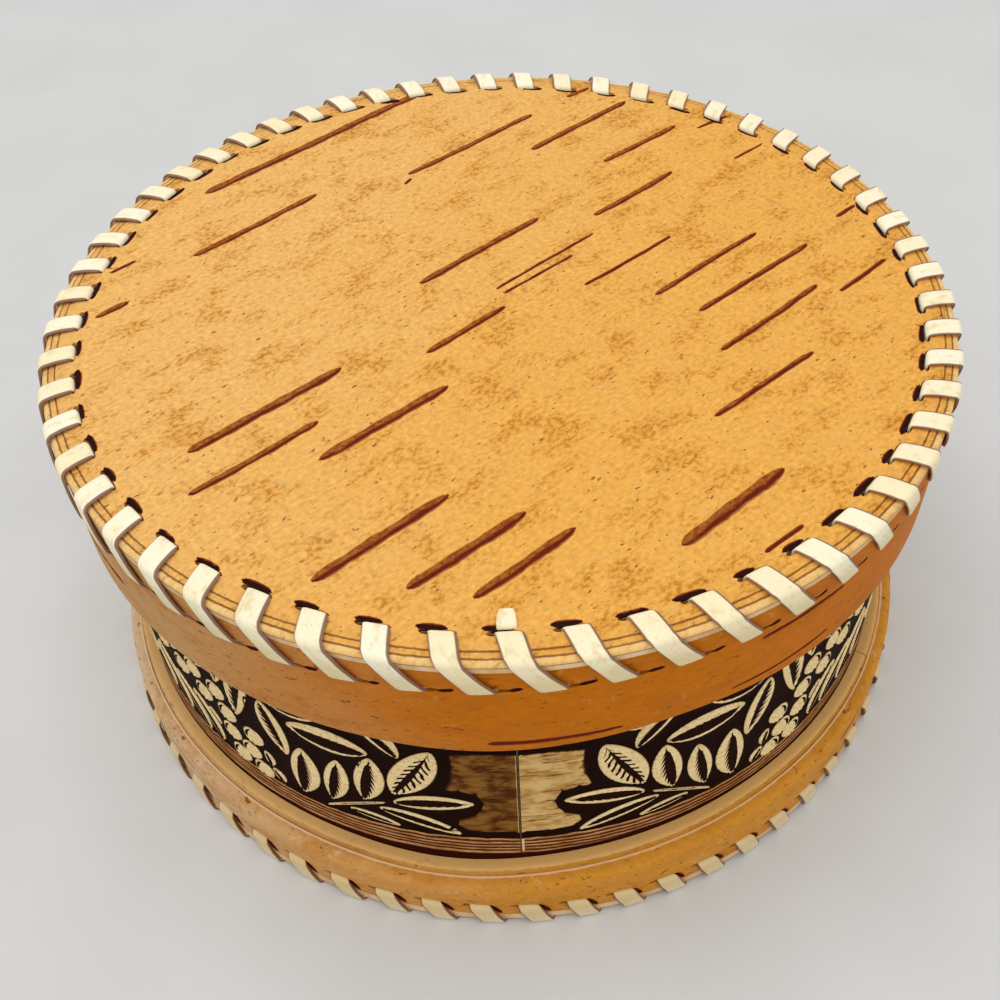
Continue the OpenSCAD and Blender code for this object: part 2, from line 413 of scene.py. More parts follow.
def outer_bark(name, flat, tone, coarse, shift, joint, steps):
    """Outer bark, clouded and more or less coarse in grain, with dark flecks, pale scuffs and
    brown lenticels with a painted highlight on each lower lip. The marks beside the stitches
    are near-black painted shade for the open slits and dark red painted shadow beside the base's
    stitches. A thin dark line lies where it joins another sheet, at a height, and at each pared
    step."""
    material, tree = new_material(name)
    grain = bark_grain(tree, flat)
    grain = add_node(
        tree, "ShaderNodeVectorMath", {"operation": "ADD"}, {0: grain, 1: (shift, shift, shift)}
    )
    x, y, z = place_in_mm(tree).parts()
    lenticel_and_shade_darkness, lip_and_highlight, edge = marks(tree, "marks")
    broad = grain.noise((60, 60, 40), 2.0)
    cloud = grain.noise((15, 15, 7), 4.0, 0.6)
    mottle = grain.noise((3.0, 3.0, 1.6), 4.0, 0.65)
    fibre = grain.noise((8, 8, 0.6), 3.0, 0.6)
    speck = grain.noise((1.5, 1.5, 1.0), 2.0, 0.6)
    fleck = grain.noise((2.2, 2.2, 0.9), 2.0, 0.5)
    scuff = grain.noise((9, 9, 5), 5.0, 0.7)

    sunny = x * 0.9 - y * 0.35 + (broad - 0.5) * 110.0
    colour = blend(sunny.rise(-75.0, 55.0), tone.rosy, tone.warm)
    colour = blend(cloud.rise(0.48, 0.70) * 0.45, colour, tone.deep)
    colour = shade(colour, 0.79 - coarse / 2 + mottle * 0.32 + fibre * 0.10 + speck * coarse)
    grainy = (1 - speck).rise(0.47, 0.60) * cloud.rise(0.48, 0.64)
    colour = blend(grainy * coarse, colour, tint(190, 122, 32))
    flecks = fleck.rise(0.64, 0.69) * scuff.rise(0.42, 0.56)
    colour = blend(flecks * 0.85, colour, tint(122, 70, 20))
    pale = scuff.rise(0.54, 0.68) * (1 - speck).rise(0.48, 0.62)
    colour = blend(pale * 0.45, colour, tone.cut)

    # The marks' darkness: brown to dark red in the lenticels; dark red to near black in the marks
    # of painted shadow beside the base stitches and of painted shade at the open slits
    ragged = lenticel_and_shade_darkness + (mottle - 0.5) * 0.40 + (speck - 0.5) * 0.45
    reddened = ragged + (scuff - 0.5) * 1.2
    body = blend(speck.rise(0.40, 0.60), tint(136, 56, 14), tint(164, 92, 30))
    colour = blend(ragged.rise(0.30, 0.55) * 0.94, colour, body)
    colour = blend(reddened.rise(1.06, 1.34) * 0.92, colour, tint(98, 20, 10))
    colour = blend(ragged.rise(1.60, 1.85), colour, tint(42, 15, 13))
    # Painted highlight along the lower lip of each lenticel
    colour = blend(lip_and_highlight * mottle.rise(0.35, 0.6) * 0.35, colour, tone.cut)
    cut = edge + (mottle - 0.5) * 0.6
    colour = blend(cut.rise(0.35, 0.65) * 0.75, colour, tone.cut)
    line = 1 - abs(z - joint).rise(0.10, 0.34)
    radius = (x * x + y * y).root() + (mottle - 0.5) * 0.5
    for step in steps:
        line = line.largest(1 - abs(radius - step).rise(0.08, 0.34))
    colour = blend(line * 0.80, colour, tint(104, 50, 20))

    roughness = 0.56 + (mottle - 0.5) * 0.25 + lenticel_and_shade_darkness * 0.1
    height = mottle * 0.35 + fibre * 0.20 + speck * 0.45 - flecks * 0.3
    finish_material(tree, colour, roughness, height, 0.20 * MM, 0.06)
    return material


def inner_bark(name, flat, pale, warm):
    """Smooth inner bark and cut edges: pale, with fine layers and a few brown lines."""
    material, tree = new_material(name)
    grain = bark_grain(tree, flat)
    cloud = grain.noise((14, 14, 5), 3.0, 0.6)
    layer = grain.noise((26, 26, 0.35), 3.0, 0.6)
    speck = grain.noise((1.6, 1.6, 0.6), 2.0, 0.6)
    colour = blend(cloud.rise(0.35, 0.65), pale, warm)
    colour = shade(colour, 0.84 + layer * 0.20 + speck * 0.12)
    colour = blend(layer.rise(0.64, 0.74) * 0.5, colour, tint(150, 92, 44))
    colour = blend(speck.rise(0.68, 0.76) * 0.4, colour, tint(128, 72, 34))
    roughness = 0.58 + (cloud - 0.5) * 0.2
    finish_material(tree, colour, roughness, layer * 0.6 + speck * 0.3, 0.12 * MM, 0.28)
    return material


def cream_lace():
    """Cream-white lace, each stitch a little unlike its neighbour, with khaki painted shade where
    it runs down a collar and goes in, darker low down on the base's lace, and dark red painted
    shadow along its sides.
    """
    material, tree = new_material("cream_lace")
    tone, along, side = (
        add_node(tree, "ShaderNodeAttribute", {"attribute_name": name}, {}, 2)
        for name in ("tone", "along", "side")
    )
    way = add_node(tree, "ShaderNodeCombineXYZ", {}, {0: along, 1: side, 2: tone * 37.0})
    fibre = way.noise((9, 0.45, 1), 3.0, 0.6)
    patch = way.noise((3.5, 2.2, 1), 3.0, 0.6)
    speck = way.noise((0.7, 0.35, 1), 2.0, 0.5)
    height = place_in_mm(tree).parts()[2]
    colour = blend(tone, tint(255, 247, 218), tint(252, 236, 192))
    # Khaki painted shade on the part of each stitch that runs down the collar and goes in
    colour = blend(along.rise(12.0, 17.5) * 0.70, colour, tint(224, 202, 146))
    colour = blend(patch.rise(0.52, 0.74) * 0.60, colour, tint(226, 200, 138))
    colour = shade(colour, 0.92 + fibre * 0.16)
    colour = blend(speck.rise(0.66, 0.74) * 0.5, colour, tint(176, 132, 76))
    colour = blend((1 - height.rise(9.0, 12.0)) * 0.45, colour, tint(208, 172, 108))
    # Dark red painted shadow along both sides of the lace, wider on one side
    half = LACE_W / 2
    rim = side.rise(half - 0.78, half - 0.42).largest((-side).rise(half - 0.42, half - 0.10))
    colour = blend(rim * 0.85, colour, tint(104, 30, 16))
    roughness = 0.50 + (patch - 0.5) * 0.2
    finish_material(tree, colour, roughness, fibre * 0.7 + patch * 0.5, 0.14 * MM, 0.35)
    return material


class Stain(NamedTuple):
    """Noises of the band's bark: its slow drift, its pores, its fibres and its clouds."""

    wander: Term
    fine: Term
    grain: Term
    cloud: Term


def carved_leaves(u, v, stain):
    """Colour of the leaves and of the ground between them, and where a leaf is cut dark.
    A cream rim, wider and hatched on one side, lies round a dark wedge that narrows to the
    tip. A veined leaf has a midrib with a comb of veins, and a lance thin rims."""
    across = v + (stain.fine - 0.5) * 0.12
    kind = (u / 2.0) - (u / 2.0).fraction()
    along = u - kind * 2.0
    tooth = (along * 10.0 + abs(v) * 1.6 + (stain.wander - 0.5) * 0.8).fraction()
    ends = along.rise(0.01, 0.10) * (1 - along.rise(0.78, 0.96))
    veined, toothed, berry, lance = (
        (kind > k - 0.5) * (kind < k + 0.5) for k in (VEINED, TOOTHED, BERRY, LANCE)
    )
    left_rim = 0.58 - along * 0.20 + lance * (0.05 + along * 0.14)
    right_rim = 0.20 - along * 0.14 + (1 - tooth) * (0.36 - lance * 0.26) + lance * 0.22
    wedge = (across > 0.0 - left_rim * ends) * (across < right_rim * ends)
    comb = (tooth < 0.42) * (across < 0.62 * ends) * (across > -0.50 * ends)
    midrib = (abs(across + 0.04) < (0.26 - along * 0.18) * ends).largest(comb)
    crescent = (abs(across + 0.62) < 0.14 * ends) * along.rise(0.25, 0.35)
    dark = (wedge * toothed.largest(lance)).largest(midrib * veined).largest(crescent * berry)
    rind = abs(across).rise(0.92, 1.02)
    cream = blend(stain.fine.rise(0.44, 0.66) * 0.60, tint(248, 222, 166), tint(214, 168, 100))
    cream = shade(cream, 0.88 + stain.grain * 0.22)
    leaf = blend(dark, cream, tint(34, 10, 4))
    leaf = blend(rind * 0.7, leaf, tint(60, 24, 10))
    ground = blend(stain.fine.rise(0.55, 0.80), tint(26, 7, 3), tint(52, 20, 8))
    return blend(v < 1.5, ground, leaf), dark * (v < 1.5)


def plain_field(x, v, stain):
    """Colour of the plain field beside each meeting of the leaves, darker to the left of the
    band's seam and frayed at its rim."""
    streak = stain.grain.rise(0.55, 0.62) * stain.cloud.rise(0.40, 0.54)
    tan = blend(stain.cloud.rise(0.38, 0.66), tint(222, 184, 118), tint(184, 134, 66))
    brown = blend(stain.cloud.rise(0.38, 0.62), tint(142, 98, 40), tint(84, 40, 12))
    field = blend(x.rise(-0.6, -0.4), brown, tan)
    field = blend(streak * 0.8, field, tint(70, 28, 10))
    frayed = v - 4.0 + (stain.fine - 0.5) * 0.5
    return blend(1 - frayed.rise(0.10, 0.50), field, tint(58, 24, 12))


def scored_border(place, stain):
    """Colour of the pale borders below the leaves and above them, where the borders lie, and
    their four scored lines. The lower one has a dark band of painted shadow where the base's
    collar begins, and the band's seam shows as a pale tick in it."""
    x, y, z = place.parts()
    level = z + (stain.wander - 0.5) * 0.9
    inside = (level < BORDER_LOW).largest(level > BORDER_HIGH)
    pale = blend(stain.cloud.rise(0.35, 0.65), tint(214, 160, 104), tint(170, 114, 60))
    pale = shade(pale, 0.80 + stain.grain * 0.36)
    lines = None
    for line in (28.3, 26.8, 25.3, 23.9, 78.5, 79.9, 81.3, 82.7):
        score = 1 - abs(level - line).rise(0.22, 0.58)
        lines = score if lines is None else lines.largest(score)
    pale = blend(lines * (0.60 + stain.fine * 0.7), pale, tint(78, 22, 12))
    # Painted shadow along the foot of the band where the base's collar meets it, rising with the
    # collar's top towards the front right
    ahead = 1 - y.rise(-40.0, 20.0)
    foot = level - x.rise(-5.0, 45.0) * ahead * 1.9
    pale = blend(1 - foot.rise(22.1, 22.8), pale, tint(50, 12, 7))
    tick = (abs(x - 0.5) < 0.28) * (y < 0) * level.rise(23.4, 23.6) * (1 - level.rise(29.2, 29.4))
    return blend(tick, pale, tint(240, 205, 170)), inside, lines


def stained_leaves():
    """The band: cream leaves left raised, a dark stained ground, plain toned fields and borders.
    The motif map holds the place along (U) and across (V) each leaf, and V is 3 or more
    outside the leaves: 3 on the ground, and 4 to 5 from the rim to the middle of a plain field."""
    material, tree = new_material("stained_leaves")
    place = place_in_mm(tree)
    motif = add_node(tree, "ShaderNodeUVMap", {"uv_map": "motif"}, {})
    u, v, _ = motif.parts()
    stain = Stain(
        place.noise((6, 6, 2.5), 2.0),
        place.noise((0.9, 0.9, 0.7), 3.0, 0.6),
        place.noise((9, 9, 0.6), 3.0, 0.6),
        place.noise((7, 7, 3.5), 4.0, 0.65),
    )
    colour, cut = carved_leaves(u, v, stain)
    colour = blend(v > 3.5, colour, plain_field(place.parts()[0], v, stain))
    border, inside, lines = scored_border(place, stain)
    colour = blend(inside, colour, border)
    relief = stain.fine * 0.35 + stain.grain * 0.35 - lines * inside * 1.4 - cut * 1.2
    roughness = 0.62 + (stain.fine - 0.5) * 0.3
    finish_material(tree, colour, roughness, relief, 0.22 * MM, 0.02)
    return material


# -------------------------------------------------------------------- meshes


def between(start, end, share):
    return start + (end - start) * share


def drift(turn):
    """How far a stitch has crept from even spacing, all in degrees."""
    return sum(
        size * (math.cos(math.radians(count * turn - late)) - math.cos(math.radians(late)))
        for count, size, late in DRIFT_WAVES
    )


def stitch_angle(index, count, share=0.0):
    """Angle of a stitch from the front, or of a place between it and the next, in degrees."""
    def angle(i):
        return FIRST_STITCH + i * 360 / count + drift(i * 360 / count)

    return between(angle(index), angle(index + 1), share)


def rise(value, low, high):
    """0 below low, 1 above high and smooth between them."""
    share = min(1.0, max(0.0, (value - low) / (high - low)))
    return share * share * (3 - 2 * share)


def slot_outline(centre, length, width, turn=0.0):
    """A slit as a long round-ended loop, turned by an angle in radians."""
    shape = ((0.5, 0.0), (0.42, 0.36), (0.25, 0.5), (0.0, 0.5), (-0.25, 0.5), (-0.42, 0.36))
    shape += tuple((-x, -y) for x, y in shape)
    cos, sin = math.cos(turn), math.sin(turn)
    loop = []
    for x, y in shape:
        across, up = x * length, y * width
        loop.append((centre[0] + across * cos - up * sin, centre[1] + across * sin + up * cos))
    return loop


class LenticelAndShadeMark:
    """A sunken bar of bark with rounded ends, a soft upper side and a dark, sharp lower one.
    With a tone of 2 it is nearly black: painted shade that stands for the open end of a slit beside
    a stitch. With a tone of 1.25 it is a dark red painted shadow beside a stitch."""

    STEPS = (-1.6, 1.6, 0.8, -0.5, 0.3, 1.1, -1.0)

    def __init__(self, start, end, width, seed, tone=1.0):
        self.start = Vector(start)
        self.way = Vector(end) - self.start
        self.length = self.way.length
        self.way.normalize()
        self.half = max(0.35, width * 0.44)
        self.phase = seed * 1.7
        self.tone = tone

    def half_width(self, along):
        """Half the width of the mark at a distance along it."""
        near = min(along, self.length - along)
        if near <= 0:
            return 0.0
        short = max(0.0, 1 - near / (4.0 * self.half))
        wave = 1 + 0.08 * math.sin(along * 0.55 + self.phase) + 0.06 * math.sin(along * 1.3)
        return self.half * math.sqrt(1 - short * short) * wave

    def sway(self, along):
        return 0.10 * math.sin(along * 0.13 + self.phase) + 0.05 * math.sin(along * 0.5)

    def points(self):
        """Rows of points across the mark, closer together at its ends."""
        left = Vector((-self.way.y, self.way.x))
        near = [self.half * share for share in (0.15, 0.7, 1.8)]
        count = max(1, round((self.length - 2 * near[-1]) / 1.6))
        rows = [between(near[-1], self.length - near[-1], k / count) for k in range(1, count)]
        found = []
        for along in (*near, *rows, *(self.length - end for end in near)):
            half = self.half_width(along)
            for step in self.STEPS:
                place = self.start + self.way * along - left * (step * half - self.sway(along))
                found.append((place.x, place.y))
        for along in (-0.22, self.length + 0.22):
            for step in (-0.9, -0.3, 0.3, 0.9):
                place = self.start + self.way * along - left * (step * self.half)
                found.append((place.x, place.y))
        return found

    def at(self, u, v):
        """Depth, darkness and lip of the mark at a place on the sheet; the lip's number also paints
        a highlight along it.
        """
        offset_u, offset_v = u - self.start.x, v - self.start.y
        along = offset_u * self.way.x + offset_v * self.way.y
        half = self.half_width(along)
        if half <= 0:
            return None
        above = -offset_u * self.way.y + offset_v * self.way.x
        below = -(above - self.sway(along)) / half
        if not -1.6 < below < 1.65:
            return None
        body = rise(below, -1.5, -0.8) * (1 - rise(below, 1.0, 1.4))
        lower = (1 - rise((1 - below) * half, 0.7, 1.1)) * (1 - rise(below, 1.0, 1.4))
        lip_and_highlight = rise(below, 1.0, 1.25) * (1 - rise(below, 1.25, 1.6))
        depth = min(0.35, half * 0.4) * rise(below, -1.5, -0.3) * (1 - rise(below, 0.6, 1.1))
        return depth - 0.08 * lip_and_highlight, (body + 0.5 * lower) * self.tone, lip_and_highlight


def spread(low, high, spacing, chance):
    """Points spread over a rectangle in uneven rows, so that the facets don't line up."""
    found = []
    rows = max(1, round((high[1] - low[1]) / spacing))
    columns = max(1, round((high[0] - low[0]) / spacing))
    for row in range(1, rows):
        for column in range(1, columns):
            shift = 0.5 * (row % 2)
            u = low[0] + (high[0] - low[0]) * (column - 0.25 + shift / 2) / columns
            v = low[1] + (high[1] - low[1]) * row / rows
            u += chance.uniform(-JITTER, JITTER) * spacing
            v += chance.uniform(-JITTER, JITTER) * spacing
            found.append((u, v))
    return found


def thinned(points, fixed, gap):
    """The points that keep a gap from the fixed ones and from each other."""
    cells = {}
    for place in fixed:
        cells.setdefault((int(place[0] // gap), int(place[1] // gap)), []).append(place)
    kept = []
    for place in points:
        column, row = int(place[0] // gap), int(place[1] // gap)
        near = (
            other
            for i in (-1, 0, 1)
            for j in (-1, 0, 1)
            for other in cells.get((column + i, row + j), ())
        )
        if all(math.dist(place, other) >= gap for other in near):
            cells.setdefault((column, row), []).append(place)
            kept.append(place)
    return kept


def surrounds(loop, place):
    """Whether a place lies inside a loop of points."""
    x, y = place
    if not min(p[0] for p in loop) < x < max(p[0] for p in loop):
        return False
    crossed = 0
    for (x0, y0), (x1, y1) in zip(loop, loop[1:] + loop[:1]):
        if (y0 > y) != (y1 > y) and x < x0 + (y - y0) * (x1 - x0) / (y1 - y0):
            crossed += 1
    return crossed % 2 == 1


def split_sheet(outline, holes, fills, lines, points):
    """Triangles of a flat sheet. Holes are cut out, the triangles of a fill are named by its
    place in the list, and lines of points stay edges. Gives places, triangles and their fills."""
    places, edges, faces = [], [], []
    for loop in [outline, *holes, *fills]:
        start = len(places)
        places += loop
        faces.append(list(range(start, start + len(loop))))
    for line in lines:
        start = len(places)
        places += line
        edges += [(start + k, start + k + 1) for k in range(len(line) - 1)]
    places += points
    result = delaunay_2d_cdt([Vector(p) for p in places], edges, faces, 0, 1e-5, True)
    found, _, triangles, _, _, owners = result
    first_fill = 1 + len(holes)
    kept, fill_of = [], []
    for triangle, owner in zip(triangles, owners):
        if 0 not in owner or any(1 <= face < first_fill for face in owner):
            continue
        kept.append(triangle)
        inside = [face - first_fill for face in owner if face >= first_fill]
        fill_of.append(inside[0] if inside else -1)
    used = sorted({k for triangle in kept for k in triangle})
    new = {old: k for k, old in enumerate(used)}
    return [found[k] for k in used], [tuple(new[k] for k in t) for t in kept], fill_of


def level_rows(ends, levels, columns):
    """Rows of points from one end of a laid-out hoop to the other, one at each level."""
    return [
        [(between(ends[0], ends[1], k / columns), level) for k in range(columns + 1)]
        for level in levels
    ]


def sheet_outline(rows, ends, sides):
    """Outline of a laid-out hoop, from its lowest and highest row and the heights on its sides."""
    right = [(ends[1], level) for level in sorted(sides)]
    left = [(ends[0], level) for level in sorted(sides, reverse=True)]
    return rows[0] + right + rows[-1][::-1] + left


def thick_sheet(name, places, triangles, put, depth_at, thickness):
    """A closed sheet of bark: the outer face with its relief, a plain inner face and the walls.
    put(u, v, depth) gives the place of a point of the sheet at a depth under its face."""
    count = len(places)
    outer = [put(p[0], p[1], depth_at(p[0], p[1])) for p in places]
    inner = [put(p[0], p[1], thickness) for p in places]
    faces = [*triangles, *((c + count, b + count, a + count) for a, b, c in triangles)]
    sides = set()
    for a, b, c in triangles:
        sides |= {(a, b), (b, c), (c, a)}
    for a, b in sorted(sides):
        if (b, a) not in sides:
            faces.append((b, a, a + count, b + count))
    mesh = bpy.data.meshes.new(name)
    mesh.from_pydata([*outer, *inner], [], faces)
    mesh.transform(TO_METRES)
    mesh.validate()
    mesh.shade_smooth()
    mesh.set_sharp_from_angle(angle=math.radians(42))
    return mesh


def keep_marks(mesh, places, marks_at):
    """Keeps three numbers at each point of the sheet as a colour attribute."""
    kept = mesh.attributes.new("marks", "FLOAT_COLOR", "POINT")
    count = len(places)
    for k, place in enumerate(places):
        values = (*marks_at(place[0], place[1]), 1.0)
        kept.data[k].color = values
        kept.data[k + count].color = (0.0, 0.0, 1.0, 1.0)


def keep_numbers(mesh, numbers):
    """Keeps a number for each point of a mesh under each of some names."""
    for name, values in numbers.items():
        mesh.attributes.new(name, "FLOAT", "POINT").data.foreach_set("value", values)


def add_piece(name, mesh, material, body, slot, *nodes):
    """Puts a finished mesh in the scene as a piece that stands for CAD nodes."""
    piece = add_object(name, mesh)
    mesh.materials.clear()
    mesh.materials.append(material)
    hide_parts(*nodes)
    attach(piece, body)
    return piece


def mark_lookup(lenticels_and_shades):
    """A function that adds up the lenticels and the marks of painted shade and shadow at a place.
    """
    def at(u, v):
        depth = dark = lip_and_highlight = 0.0
        for mark in lenticels_and_shades:
            found = mark.at(u, v)
            if found:
                depth = max(depth, found[0]) if found[0] > 0 else depth + found[0]
                dark = max(dark, found[1])
                lip_and_highlight = max(lip_and_highlight, found[2])
        return depth, dark, lip_and_highlight

    return at


def hand_cut(turn, seed):
    """How far a pared step wanders out or in at an angle in radians, in millimetres."""
    wander = math.sin(5 * turn + seed) + 0.6 * math.sin(13 * turn + 2 * seed)
    return 0.10 * wander + 0.05 * math.sin(29 * turn + 3 * seed)


def ring(radius, count, seed=0):
    """A closed line round the disc, which follows a pared step where a seed is given."""
    found = []
    for k in range(count + 1):
        turn = 2 * math.pi * (k % count) / count
        r = radius + (hand_cut(turn, seed) if seed else 0.0)
        found.append((r * math.sin(turn), -r * math.cos(turn)))
    return found


def rounded(inset, radius):
    """How deep a rounded edge lies under the face, at a distance in from the edge."""
    return radius - math.sqrt(radius * radius - max(0.0, radius - inset) ** 2)


def make_lid_top():
    """The lid's upper sheet, with its lenticels, a slit for each stitch with a ragged near-black
    mark of painted shade beside it where the open slit shows, and an edge pared down in two steps."""
    chance = random.Random(11)
    lenticels_and_shades = [LenticelAndShadeMark(a, b, w, k) for k, (a, b, w) in enumerate(LID_LENTICELS)]
    outline = ring(LID_R, 288)[:-1]
    holes = []
    for index in range(LID_RIM.count):
        turn = math.radians(stitch_angle(index, LID_RIM.count))
        along = Vector((math.cos(turn), math.sin(turn)))
        out = Vector((math.sin(turn), -math.cos(turn)))
        slit = out * LID_RIM.r_slit
        holes.append(slot_outline(slit + along * DISC_SLIT_SHIFT, *DISC_SLIT, turn))
        # A ragged near-black mark of painted shade beside each slit, standing for the open slit
        open_slit_shade = slit - out * chance.uniform(0.85, 1.05)
        left = open_slit_shade - along * chance.uniform(4.0, 5.2) - out * chance.uniform(-0.1, 0.4)
        right = open_slit_shade + along * chance.uniform(0.6, 2.4)
        lenticels_and_shades.append(LenticelAndShadeMark(left, right, chance.uniform(1.2, 1.7), index, 2.0))
    at = mark_lookup(lenticels_and_shades)
    steps = [ring(r, 240, seed) for *both, seed in PARED_STEPS for r in both]
    steps += [ring(LID_R - inset, 288) for inset in (0.08, 0.3, 0.7)]
    grooves = [p for mark in lenticels_and_shades for p in mark.points()]
    fixed = [p for loop in [outline, *holes, *steps] for p in loop]
    grooves = thinned(grooves, fixed, 0.18)
    field = spread((-LID_R, -LID_R), (LID_R, LID_R), 3.6, chance)
    field = [p for p in field if math.hypot(*p) < LID_R - 1.2]
    field = thinned(field, fixed + grooves, 1.3)
    places, triangles, _ = split_sheet(outline, holes, [], steps, grooves + field)

    def past_steps(u, v):
        """How far a place is past the start of each pared step, from 0 to 1."""
        r, turn = math.hypot(u, v), math.atan2(u, -v)
        return [
            rise(r, begin + hand_cut(turn, seed), end + hand_cut(turn, seed))
            for begin, end, seed in PARED_STEPS
        ]

    def depth_at(u, v):
        r = math.hypot(u, v)
        depth = 0.2 * sum(past_steps(u, v)) + rounded(max(0.0, LID_R - r), 0.8)
        swell = 0.10 * math.sin(u * 0.05 + 1) * math.cos(v * 0.06)
        swell += 0.05 * math.sin(v * 0.16 + u * 0.1)
        swell = (swell - 0.15) * (1 - rise(r, 70, 98))
        return max(0.0, depth + at(u, v)[0] - swell)

    def marks_at(u, v):
        r = math.hypot(u, v)
        first, second = past_steps(u, v)
        _, dark, lip_and_highlight = at(u, v)
        return dark, lip_and_highlight, max(0.45 * first * (1 - rise(r, 107.0, 107.9)), 0.55 * second)

    def put(u, v, depth):
        return Vector((u, v, LID_TOP - depth))

    mesh = thick_sheet("lid_top", places, triangles, put, depth_at, SHEET_T)
    keep_marks(mesh, places, marks_at)
    tone = BarkTone(
        tint(234, 171, 80), tint(235, 180, 102), tint(203, 134, 44), tint(246, 211, 144)
    )
    step_ends = [end for _, end, _ in PARED_STEPS]
    material = outer_bark("lid_bark", True, tone, 0.80, 0.0, LID_TOP - SHEET_T, step_ends)
    add_piece("lid_top_bark", mesh, material, "lid", "bark_outer", "lid_top_sheet")


class Hoop(NamedTuple):
    """An outer collar: its radius, lower and upper edge and thickness, the angle of its seam,
    the roundings of its lower and upper edge and how much paler they are painted, the angles and
    height of its slits, and how far its hand-cut edges run above their even line at an angle."""

    radius: float
    low: float
    high: float
    thickness: float
    seam: float
    roundings: tuple
    edge_paling: tuple
    slits: list
    slit_height: float
    waves: tuple


def lid_foot_wave(turn):
    """How far the foot of the lid's collar runs above its even line, at an angle in degrees."""
    near = (turn + 180) % 360 - 180
    dip = -1.3 * math.exp(-(((near + 3) / 11) ** 2))
    crest = 1.2 * math.exp(-(((near - 20) / 10) ** 2))
    return dip + crest + 0.15 * math.sin(math.radians(5 * turn + 40))


def base_top_wave(turn):
    """How far the top of the base's collar runs above its even line, at an angle in degrees."""
    near = (turn + 180) % 360 - 180
    dip = -1.9 * math.exp(-(((near + 10) / 12) ** 2))
    return dip + 2.3 * math.exp(-(((near - 35) / 26) ** 2))


def even(turn):
    return 0.0


def make_hoop(name, node, body, slot, hoop, marks, material):
    """A hoop of outer bark with its slits, its lenticels, the marks of painted shade and painted
    shadow that it is given beside its stitches, and rounded edges.
    It is laid out flat, angle by angle, from its seam to its seam."""
    chance = random.Random(len(name))
    low, high = hoop.low, hoop.high
    per_degree = math.pi * hoop.radius / 180
    ends = (hoop.seam * per_degree + SEAM_GAP / 2, (hoop.seam + 360) * per_degree - SEAM_GAP / 2)

    def laid(angle):
        """The place along the hoop of an angle from the front."""
        return (hoop.seam + (angle - hoop.seam) % 360) * per_degree

    def raised(u, v):
        """How far the hand-cut edges lift a place of the even hoop."""
        foot, top = (wave(u / per_degree) for wave in hoop.waves)
        return foot * (1 - rise(v, low + 1, low + 6)) + top * rise(v, high - 9, high - 1)

    lenticels_and_shades = []
    for k, (a, b, width, *tone) in enumerate(marks):
        first, last = laid(a[0]), laid(b[0])
        if first < last:
            start = (first, a[1] - raised(first, a[1]))
            end = (last, b[1] - raised(last, b[1]))
            lenticels_and_shades.append(LenticelAndShadeMark(start, end, width, k, *tone))
    at = mark_lookup(lenticels_and_shades)

    foot_r, top_r = hoop.roundings
    levels = [low + foot_r * share for share in (0, 0.18, 0.5, 1.1)]
    levels += [high - top_r * share for share in (1.1, 0.6, 0.25, 0.06, 0)]
    rows = level_rows(ends, levels, 300)
    inner_levels = [between(levels[3], levels[4], k / 4) for k in range(1, 4)]
    outline = sheet_outline(rows, ends, levels[1:-1] + inner_levels)
    holes = [slot_outline((laid(angle), hoop.slit_height), *COLLAR_SLIT) for angle in hoop.slits]
    steps = [row[1:-1] for row in rows[1:-1]]
    fixed = [p for loop in [outline, *holes, *steps] for p in loop]
    grooves = thinned([p for mark in lenticels_and_shades for p in mark.points()], fixed, 0.18)
    field = spread((ends[0], levels[3]), (ends[1], levels[4]), 2.9, chance)
    field = thinned(field, fixed + grooves, 1.2)
    places, triangles, _ = split_sheet(outline, holes, [], steps, grooves + field)

    def depth_at(u, v):
        edge = rounded(max(0.0, v - low), foot_r) + rounded(max(0.0, high - v), top_r)
        swell = 0.07 * (1 + math.sin(u * 0.031 + v * 0.11)) + 0.04 * (1 + math.sin(u * 0.093))
        return min(hoop.thickness - 0.3, edge + max(0.0, at(u, v)[0] + swell))

    def marks_at(u, v):
        _, dark, lip_and_highlight = at(u, v)
        # Paler along the rounded foot and top, by the amounts the hoop gives
        foot_paling = hoop.edge_paling[0] * (1 - rise(v, low + 0.3, low + 0.9))
        return dark, lip_and_highlight, max(foot_paling, hoop.edge_paling[1] * (1 - rise(high - v, 0.1, 0.9)))

    def put(u, v, depth):
        turn, r = math.radians(u / per_degree), hoop.radius - depth
        return Vector((r * math.sin(turn), -r * math.cos(turn), v + raised(u, v)))

    mesh = thick_sheet(name, places, triangles, put, depth_at, hoop.thickness)
    keep_marks(mesh, places, marks_at)
    add_piece(name, mesh, material, body, slot, node)


def collar_slit_angles(rim):
    """Angles from the front of the slits in a collar, on the laced face's own side."""
    shift = math.degrees(COLLAR_SLIT_SHIFT / rim.r_out)
    return [stitch_angle(k, rim.count, rim.lean - 0.005) + shift for k in range(rim.count)]


def make_lid_collar():
    chance = random.Random(23)
    slits = collar_slit_angles(LID_RIM)
    height = LID_TOP - LID_RIM.drop
    marks = list(LID_COLLAR_MARKS)
    # Near-black marks of painted shade to the right of each slit, standing for the slit's open end
    # beside the lace
    for slit in slits:
        start = slit + math.degrees(3.5 / LID_R)
        end = start + math.degrees(chance.uniform(1.8, 3.8) / LID_R)
        marks.append(((start, height - 0.1), (end, height + chance.uniform(0.0, 0.4)), 1.1, 2.0))
    tone = BarkTone(tint(197, 110, 2), tint(200, 157, 101), tint(172, 86, 2), tint(218, 164, 96))
    material = outer_bark("lid_collar_bark", False, tone, 0.35, 40.0, LID_DISC_FACE, ())
    hoop = Hoop(
        LID_R, LID_FOOT, LID_DISC_FACE, LID_COLLAR_T, 174.9, (1.0, 0.25), (0.5, 0.0), slits, height,
        (lid_foot_wave, even),
    )
    make_hoop("lid_collar_bark", "lid_collar", "lid", "bark_outer", hoop, marks, material)


